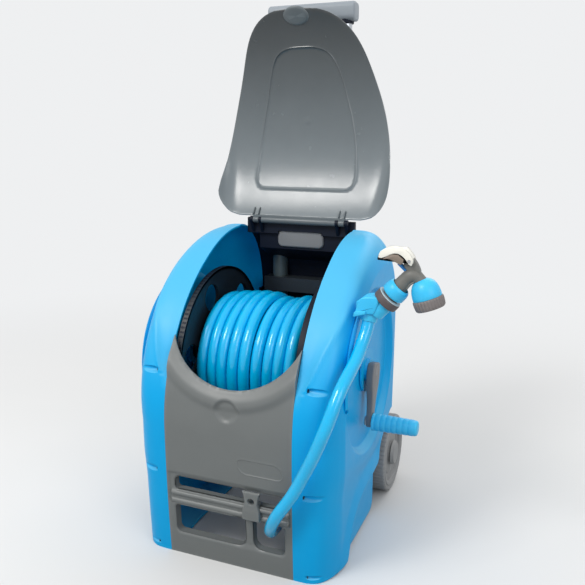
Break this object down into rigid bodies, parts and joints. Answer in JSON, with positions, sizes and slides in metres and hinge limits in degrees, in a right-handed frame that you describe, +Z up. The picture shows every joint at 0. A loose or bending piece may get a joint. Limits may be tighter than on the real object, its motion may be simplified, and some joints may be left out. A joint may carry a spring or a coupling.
{
  "type": "hose reel cart",
  "caption": "Wheeled garden hose reel cart with side shells, hinged lid, telescopic handle, crank-wound drum, hose guide and spray gun on its holder.",
  "frame": {"origin": "middle of the front panel's foot, on the ground", "axes": "+X to the right seen from the front, where the crank and the spray gun are; +Y to the back, where the wheels and the handle are; +Z up"},
  "size_m": [0.4418, 0.3932, 0.7702],
  "materials": {
    "shell_blue": "satin moulded polypropylene",
    "panel_grey": "fine satin texture",
    "lid_grey": "satin",
    "trim_grey": "satin",
    "black_plastic": "satin",
    "arm_grey": "satin",
    "handle_silver": "satin anodised",
    "handle_grip_grey": "satin",
    "steel": "zinc plated",
    "wheel_grey": "satin, ribbed tread",
    "hose_blue": "glossy flexible PVC",
    "fitting_blue": "glossy",
    "gun_grey": "satin",
    "rubber_black": "matt",
    "lever_white": "glossy"
  },
  "bodies": {
    "cart": {"side_shell_left": "shell_blue", "side_shell_right": "shell_blue", "front_panel": "panel_grey", "rear_panel": "black_plastic", "handle_socket_left": "black_plastic", "handle_socket_right": "black_plastic", "socket_bracket": "black_plastic", "axle_bracket_left": "black_plastic", "axle_bracket_right": "black_plastic", "wheel_axle": "steel", "axle_caps": "steel", "bearing_bush_left": "shell_blue", "bearing_bush_right": "shell_blue", "shell_screws": "steel", "screw_bosses": "shell_blue", "hinge_pins": "steel", "gun_holder": "fitting_blue", "gun_body": "gun_grey", "coupling_ring": "rubber_black", "hose_connector": "fitting_blue", "trigger_pin": "steel", "spray_head": "fitting_blue", "free_hose": "hose_blue"},
    "lid": {"lid": "lid_grey"},
    "handle": {"handle_tube_left": "handle_silver", "handle_tube_right": "handle_silver", "handle_grip": "handle_grip_grey", "tube_plugs": "black_plastic"},
    "release_button": {"release_button": "trim_grey"},
    "lock_shoe_left": {"lock_shoe_left": "black_plastic"},
    "lock_shoe_right": {"lock_shoe_right": "black_plastic"},
    "drum": {"drum_barrel": "black_plastic", "drum_flange_left": "black_plastic", "drum_flange_right": "black_plastic", "hose_core": "hose_blue", "hose_coil": "hose_blue", "water_shaft": "black_plastic", "crank_shaft": "black_plastic", "crank_arm": "arm_grey", "crank_cap": "arm_grey", "grip_pin": "steel", "shaft_seals": "rubber_black"},
    "crank_grip": {"crank_grip": "fitting_blue"},
    "inlet": {"inlet_elbow": "trim_grey", "inlet_nipple": "trim_grey"},
    "inlet_nut": {"inlet_nut": "fitting_blue"},
    "wheel_left": {"wheel_left": "wheel_grey", "wheel_cap_left": "wheel_grey"},
    "wheel_right": {"wheel_right": "wheel_grey", "wheel_cap_right": "wheel_grey"},
    "guide_clip": {"guide_clip": "trim_grey"},
    "release_collar": {"release_collar": "fitting_blue"},
    "trigger": {"trigger_lever": "lever_white"},
    "valve_stem": {"valve_stem": "fitting_blue"},
    "nozzle_ring": {"nozzle_ring": "gun_grey"}
  },
  "joints": [
    {"name": "lid_hinge", "type": "hinge", "parent": "cart", "child": "lid", "pos_m": [0, 0.237, 0.4445], "axis": [1, 0, 0], "range_deg": [0, 124]},
    {"name": "handle_slide", "type": "slide", "parent": "cart", "child": "handle", "axis": [0, 0, 1], "range_m": [-0.255, 0]},
    {"name": "button_push", "type": "slide", "parent": "cart", "child": "release_button", "axis": [0, 1, 0], "range_m": [0, 0.003], "stiffness_N_per_m": 500},
    {"name": "shoe_left_slide", "type": "slide", "parent": "cart", "child": "lock_shoe_left", "axis": [1, 0, 0], "range_m": [0, 0.002]},
    {"name": "shoe_right_slide", "type": "slide", "parent": "cart", "child": "lock_shoe_right", "axis": [-1, 0, 0], "range_m": [0, 0.002]},
    {"name": "drum_spin", "type": "hinge", "parent": "cart", "child": "drum", "pos_m": [0, 0.145, 0.251], "axis": [1, 0, 0], "continuous": true},
    {"name": "crank_grip_spin", "type": "hinge", "parent": "drum", "child": "crank_grip", "pos_m": [0.158, 0.1288, 0.18085], "axis": [1, 0, 0], "continuous": true},
    {"name": "inlet_swivel", "type": "hinge", "parent": "cart", "child": "inlet", "pos_m": [-0.16, 0.145, 0.251], "axis": [1, 0, 0], "continuous": true},
    {"name": "inlet_nut_spin", "type": "hinge", "parent": "inlet", "child": "inlet_nut", "pos_m": [-0.164, 0.145, 0.22], "axis": [0, 0, 1], "continuous": true},
    {"name": "wheel_left_spin", "type": "hinge", "parent": "cart", "child": "wheel_left", "pos_m": [-0.135, 0.288, 0.063], "axis": [1, 0, 0], "continuous": true},
    {"name": "wheel_right_spin", "type": "hinge", "parent": "cart", "child": "wheel_right", "pos_m": [0.135, 0.288, 0.063], "axis": [1, 0, 0], "continuous": true},
    {"name": "clip_slide", "type": "slide", "parent": "cart", "child": "guide_clip", "axis": [1, 0, 0], "range_m": [-0.1, 0.006]},
    {"name": "collar_slide", "type": "slide", "parent": "cart", "child": "release_collar", "axis": [-0.6691, 0, -0.7431], "range_m": [0, 0.0025], "stiffness_N_per_m": 300},
    {"name": "trigger_pull", "type": "hinge", "parent": "cart", "child": "trigger", "pos_m": [0.21714, 0.062, 0.42628], "axis": [0, -1, 0], "range_deg": [0, 16], "stiffness_Nm_per_rad": 0.4},
    {"name": "valve_slide", "type": "slide", "parent": "cart", "child": "valve_stem", "axis": [0.7431, 0, -0.6691], "range_m": [0, 0.004]},
    {"name": "nozzle_turn", "type": "hinge", "parent": "cart", "child": "nozzle_ring", "pos_m": [0.23431, 0.062, 0.39602], "axis": [0.342, 0, -0.9397], "continuous": true}
  ],
  "couplings": [
    {"joint": "shoe_left_slide", "follows": "button_push", "ratio": 0.6666},
    {"joint": "shoe_right_slide", "follows": "button_push", "ratio": 0.6666},
    {"joint": "valve_slide", "follows": "trigger_pull", "m_per_rad": 0.0143}
  ]
}
